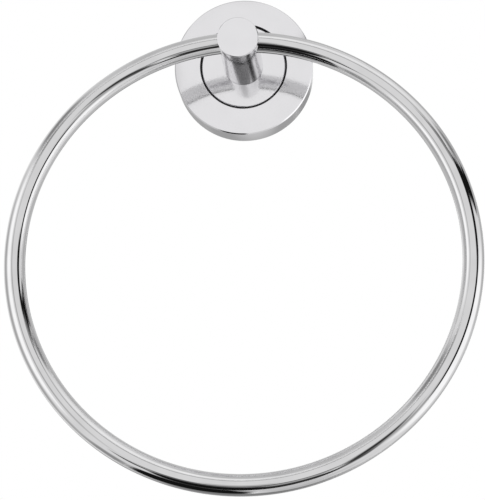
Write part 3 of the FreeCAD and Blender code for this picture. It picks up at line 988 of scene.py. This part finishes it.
lamp_data = bpy.data.lights.new("lamp", "AREA")
lamp_data.shape = "RECTANGLE"
lamp_data.size = LAMP_WIDTH * MM
lamp_data.size_y = LAMP_HEIGHT * MM
lamp_data.energy = LAMP_WATTS
lamp = bpy.data.objects.new("lamp", lamp_data)
scene.collection.objects.link(lamp)
lamp.location = LAMP_PLACE * MM
lamp.rotation_euler = (HOOP_CENTRE - LAMP_PLACE).to_track_quat("-Z", "Y").to_euler()
lamp.visible_glossy = False
print("lamp:", LAMP_WATTS, "watts")

# %% [markdown]
# Chrome in an empty white room looks like grey paper. What gives it depth is the studio that it
# mirrors: two tall softboxes, a dark boom on its stand, a dark cloth on the floor and the duller
# corners of the room. Each is a flat card that faces the hoop and shows only in mirrors. A plane
# with hard edges would do, but the real ones are far out of focus, so each card fades out. Most
# hang far away. The lamps and their stands are nearer, and so they shift from one side of the hoop
# to the other.

# %% Soft edge of a card
def build_card_fade():
    """Solid inside the core share of a card, and gone at its rounded outline."""
    group, entry, leave = new_group("card_fade", {"Corner": 3.0, "Core": 0.6})
    place = add(group, "ShaderNodeTexCoord")
    parts = add(group, "ShaderNodeSeparateXYZ")
    group.links.new(place.outputs["Object"], parts.inputs[0])
    powers = []
    for axis in "XY":
        distance = math_node(group, "ABSOLUTE", parts.outputs[axis])
        powers.append(math_node(group, "POWER", distance, entry.outputs["Corner"]))
    root = math_node(group, "DIVIDE", 1.0, entry.outputs["Corner"])
    share = math_node(group, "POWER", math_node(group, "ADD", *powers), root)
    fade = add(group, "ShaderNodeMapRange", interpolation_type="SMOOTHSTEP")
    fade.inputs["From Min"].default_value = 1.0
    group.links.new(entry.outputs["Core"], fade.inputs["From Max"])
    group.links.new(share, fade.inputs["Value"])
    group.links.new(fade.outputs["Result"], leave.inputs["Mask"])
    return group


card_fade = build_card_fade()
print("node group:", card_fade.name)

# %% [markdown]
# A card glows by itself in one tone and takes no light. In a mirror image of a mirror image the
# room is lighter, so a card can stop after its first bounce.

# %% Finish of a card
def card_finish(name, tone, corner, core, bounces):
    """A self-lit tone that fades out towards the outline, for so many bounces."""
    material, tree, shader = new_material(name)
    shader.inputs["Base Color"].default_value = (0, 0, 0, 1)
    shader.inputs["Specular IOR Level"].default_value = 0
    shader.inputs["Emission Color"].default_value = (1, 1, 1, 1)
    shader.inputs["Emission Strength"].default_value = tone
    fade = place_group(tree, card_fade, Corner=corner, Core=core)
    path = add(tree, "ShaderNodeLightPath")
    shown = math_node(tree, "LESS_THAN", path.outputs["Glossy Depth"], bounces + 0.5)
    tree.links.new(math_node(tree, "MULTIPLY", fade, shown), shader.inputs["Alpha"])
    return material


# %% [markdown]
# A card is placed by where it is seen from the middle of the hoop: a bearing to the right of
# straight ahead, a height angle and half sizes as angles. A small near card can start elsewhere.

# %% A card of the studio
STUDIO_REACH = 2000.0
DARK_TONE = 0.01


def towards(bearing, height):
    """The unit vector of a bearing and a height angle."""
    bearing, height = math.radians(bearing), math.radians(height)
    flat = math.cos(height)
    return Vector((math.sin(bearing) * flat, -math.cos(bearing) * flat, math.sin(height)))


def build_card(
    name,
    place,
    half_size,
    turn=0,
    tone=DARK_TONE,
    corner=3,
    core=0.6,
    bounces=2,
    start=HOOP_CENTRE,
    reach=STUDIO_REACH,
):
    """A card at a bearing and height from the start, at a reach, with its half sizes as angles."""
    mesh = bpy.data.meshes.new(name)
    mesh.from_pydata([(-1, -1, 0), (1, -1, 0), (1, 1, 0), (-1, 1, 0)], [], [(0, 1, 2, 3)])
    mesh.materials.append(card_finish(name, tone, corner, core, bounces))
    card = bpy.data.objects.new(name, mesh)
    scene.collection.objects.link(card)
    away = towards(*place)
    right = Vector((math.cos(math.radians(place[0])), math.sin(math.radians(place[0])), 0))
    facing = Matrix((right, right.cross(away), -away)).transposed().to_4x4()
    half_width, half_height = (reach * MM * math.tan(math.radians(angle)) for angle in half_size)
    card.matrix_world = (
        Matrix.Translation((start + away * reach) * MM)
        @ facing
        @ Matrix.Rotation(math.radians(-turn), 4, "Z")
        @ Matrix.Diagonal((half_width, half_height, 1, 1))
    )
    for ray in ("camera", "diffuse", "transmission", "shadow", "volume_scatter"):
        setattr(card, f"visible_{ray}", False)


# %% [markdown]
# The bright cards come first: a softbox on each side and one above, a little brighter than the
# white room.

# %% Softboxes
build_card("softbox_left", (-62, 6), (17, 33), tone=1.42, corner=4, reach=320)
build_card("softbox_right", (74, -14), (26, 34), tone=1.42, corner=4, reach=420)
build_card("softbox_top", (25, 60), (32, 16), tone=1.2, core=0.3)


def count_cards():
    """The number of objects that the camera can't see."""
    return sum(not piece.visible_camera for piece in scene.objects)


print("bright cards:", count_cards())

# %% [markdown]
# The grey corners of the room lie all round: behind the hoop, beside the softboxes, above and
# below. Two small cards hang close by, where the far ones can't tell two pieces apart. One lightens
# the underside of the hoop beside the post, and one darkens the lower left of the plate's rim.

# %% Grey corners
def build_grey(name, place, half_size, **looks):
    """A card that shows in the first mirror image only."""
    build_card(name, place, half_size, bounces=1, **looks)


plate_low_left = cover_low / 2
build_grey("room_behind", (180, -25), (36, 34), tone=0.4, core=0.7)
build_grey("room_behind_top", (172, 42), (32, 32), tone=0.72, core=0.5)
build_grey("room_behind_dark", (178, 9), (30, 9), tone=0.34, core=0.4)
build_grey("room_behind_light", (-162, 22), (30, 26), tone=1.05, core=0.3)
build_grey("room_left", (-100, -8), (26, 52), tone=0.56, core=0.3)
build_grey("room_left_low", (-88, -45), (26, 10), tone=0.38, core=0.3)
build_grey("room_top_left", (-80, 48), (34, 11), tone=0.34, core=0.2)
build_grey("room_top", (-90, 80), (45, 34), tone=0.7, core=0.2)
build_grey("room_top_right", (150, 52), (34, 18), tone=0.58, core=0.3)
build_grey("room_right", (125, 20), (30, 40), tone=0.6, core=0.3)
build_grey("room_right_top", (85, 42), (26, 8), turn=-7, tone=0.3, core=0.2)
build_grey("room_right_low", (150, -25), (34, 30), tone=0.62, core=0.2)
build_grey("room_under", (-170, -66), (40, 24), tone=0.28, core=0.3)
build_grey("room_under_right", (90, -78), (50, 14), tone=0.7, core=0.2)
build_grey("room_front_left", (-31, 8), (8, 34), tone=0.55, core=0.1, reach=400)
build_grey("room_front_top", (5, 42), (35, 6), tone=0.55, core=0.2)
build_grey("room_low_right", (40, -68), (30, 18), tone=0.8, core=0.2)
build_grey("near_hoop", (-158, -46), (54, 19), turn=-8, tone=0.69, start=bore_centre, reach=75)
build_grey("near_rim", (-168, 6), (16, 16), tone=0.42, core=0.5, start=plate_low_left, reach=150)
print("bright and grey cards:", count_cards())

# %% [markdown]
# The black things are thin, and they draw the sharp dark lines along the bar: the boom with its
# clamp and weight, the stand with a soft shade beside it, and the cloth with a fold and a sheen.

# %% Boom, stand and cloth
build_card("boom", (68, 33), (36, 7), turn=-6, core=0.4)
build_card("boom_clamp", (45, 27), (13, 12), reach=600)
build_card("boom_head", (45, 38), (9, 5), tone=0.2, core=0.2, reach=300)
build_card("boom_weight", (94, 29), (14, 8), turn=-6, reach=1000)
build_card("boom_arm", (28, 35), (11, 4), turn=8, tone=0.4, reach=450)
build_card("left_arm", (-31, 36), (14, 6), turn=-20, tone=0.35, core=0.1)
build_card("stand", (49, 6), (9, 26), turn=-8, core=0.7, reach=430)
build_card("stand_shade", (36, -16), (13, 20), tone=0.5, core=0.1, reach=600)
build_card("low_arm", (24, -20), (8, 30), turn=22, tone=0.04, core=0.4, reach=680)
build_card("cloth_front", (-8, -40), (22, 16), turn=-14, corner=4, core=0.8)
build_card("cloth_corner", (-31, -25), (6, 6), tone=0.05)
build_card("cloth_edge", (19, -46), (14, 10), turn=-10, tone=0.04, reach=450)
build_card("cloth_fold", (-4, -20), (24, 7), tone=0.2)
build_card("cloth_sheen", (9, -27), (9, 9), tone=0.5, core=0.5, bounces=1)
build_card("cloth_peak", (-4, -9), (6, 7), tone=0.65)
build_card("cloth_left", (-67, -69), (30, 20), turn=20, corner=4, core=0.8, bounces=1)
print("all cards:", count_cards())

# %% [markdown]
# ## Camera
# The photograph was taken from a little below the plate, looking slightly up, with a long lens. A
# camera could be aimed by a constraint, but three plain turns say more: yaw, pitch and roll.

# %% Camera
CAMERA_PLACE = Vector((29.55, -618.3, -172.5))
CAMERA_YAW = -2.99
CAMERA_PITCH = 9.0
CAMERA_ROLL = -1.26
LENS = 109.5
SENSOR = 36.0

camera_data = bpy.data.cameras.new("camera")
camera_data.sensor_fit = "VERTICAL"
camera_data.sensor_height = SENSOR
camera_data.lens = LENS
camera = bpy.data.objects.new("camera", camera_data)
scene.collection.objects.link(camera)
camera.matrix_world = (
    Matrix.Translation(CAMERA_PLACE * MM)
    @ Matrix.Rotation(math.radians(-CAMERA_YAW), 4, "Z")
    @ Matrix.Rotation(math.radians(90 + CAMERA_PITCH), 4, "X")
    @ Matrix.Rotation(math.radians(CAMERA_ROLL), 4, "Z")
)
scene.camera = camera
scene.view_settings.view_transform = "Standard"
print(f"camera: {LENS} mm lens, {(CAMERA_PLACE - HOOP_CENTRE).length:.0f} mm from the hoop's middle")

# %% Finish
bpy.context.view_layer.update()
